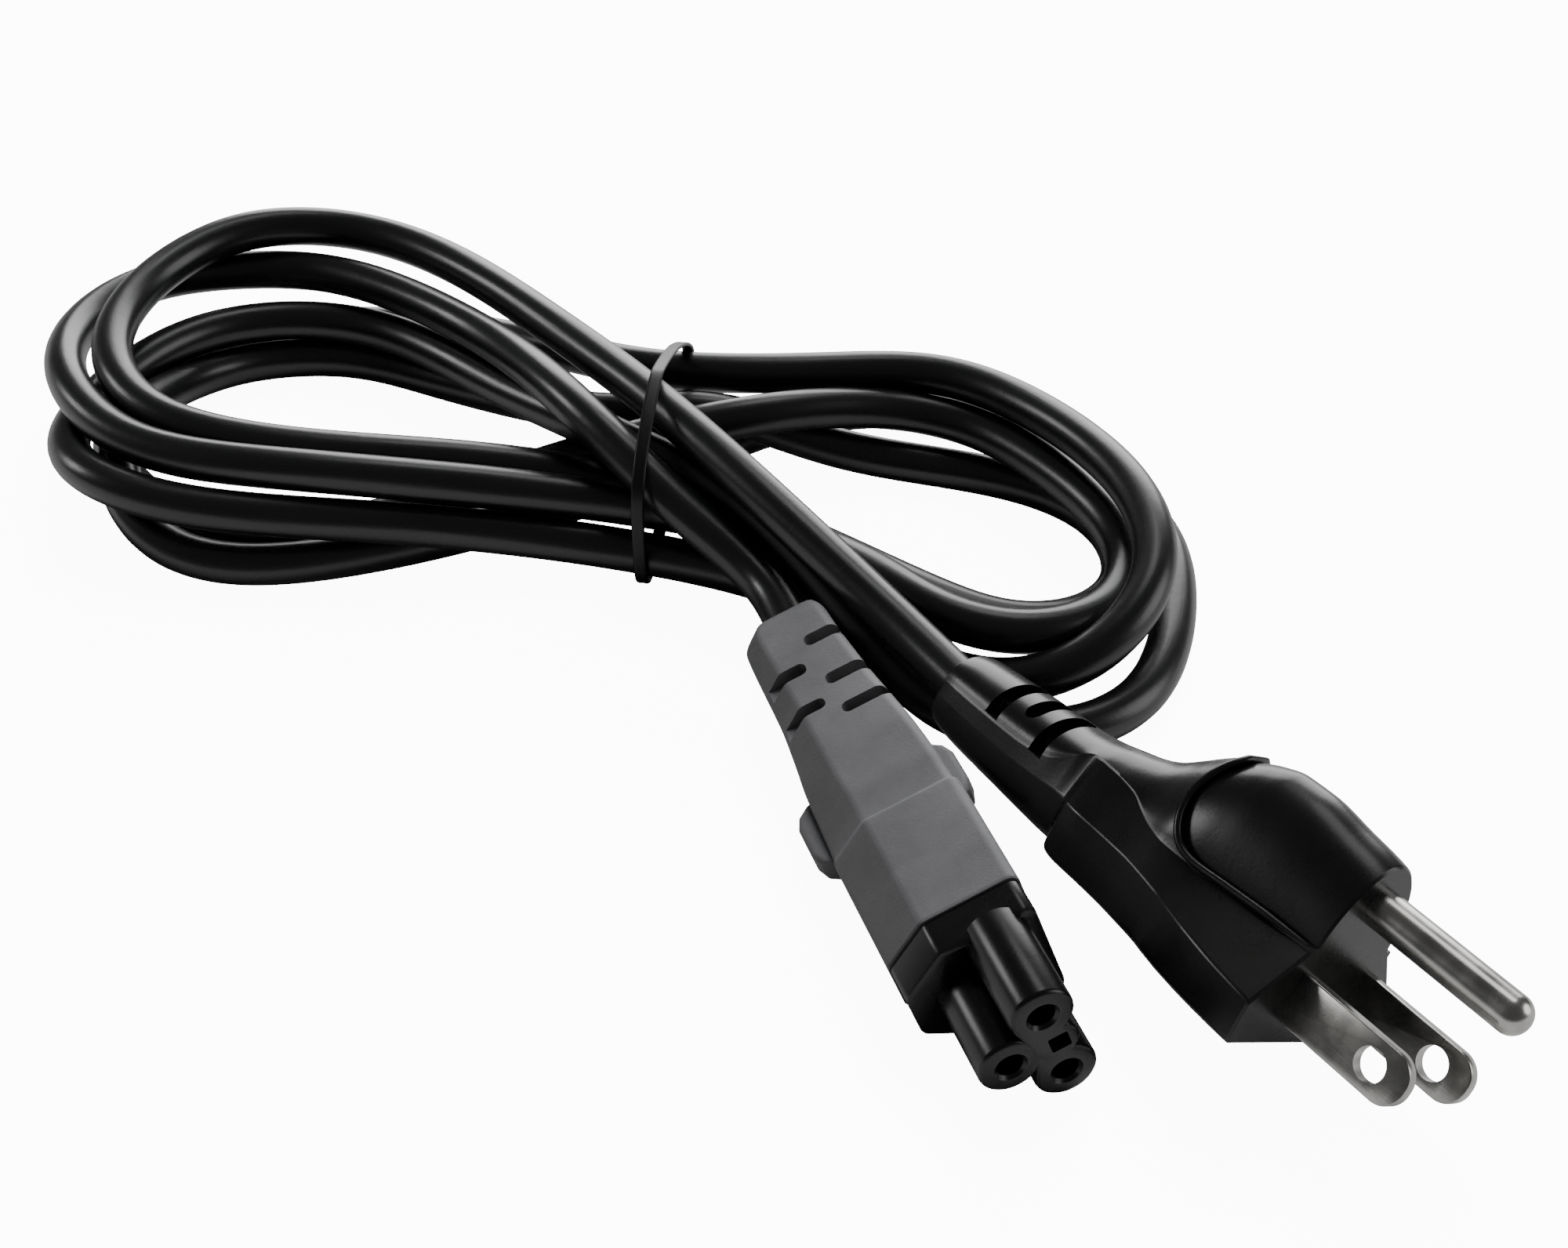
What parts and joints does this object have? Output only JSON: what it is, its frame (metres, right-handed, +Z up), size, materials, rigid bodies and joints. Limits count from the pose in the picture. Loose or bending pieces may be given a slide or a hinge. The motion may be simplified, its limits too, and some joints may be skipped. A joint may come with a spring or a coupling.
{
  "type": "power cord",
  "caption": "Black mains power cord wound in a figure-eight hank with a tie, straight grounded flat-blade plug at one end and a cloverleaf appliance connector at the other.",
  "frame": {"origin": "on the floor plane, under the middle of the bounding box of the whole wound cord", "axes": "+Z up from the floor; the plug and the connector point towards -Y and the hank lies on the +Y side with its length along X"},
  "size_m": [0.1912, 0.1851, 0.0304],
  "materials": {
    "pvc_sheath": "glossy black PVC sheath",
    "pvc_moulding": "satin black PVC moulding",
    "plated_contact": "bright nickel plating on brass",
    "hard_insert": "hard black plastic",
    "tie_coating": "black plastic-covered wire"
  },
  "bodies": {
    "root": {"cord": "pvc_sheath", "plug_body": "pvc_moulding", "line_blade": "plated_contact", "neutral_blade": "plated_contact", "ground_pin": "plated_contact", "connector_body": "pvc_moulding", "socket_insert": "hard_insert", "twist_tie": "tie_coating"}
  },
  "joints": []
}
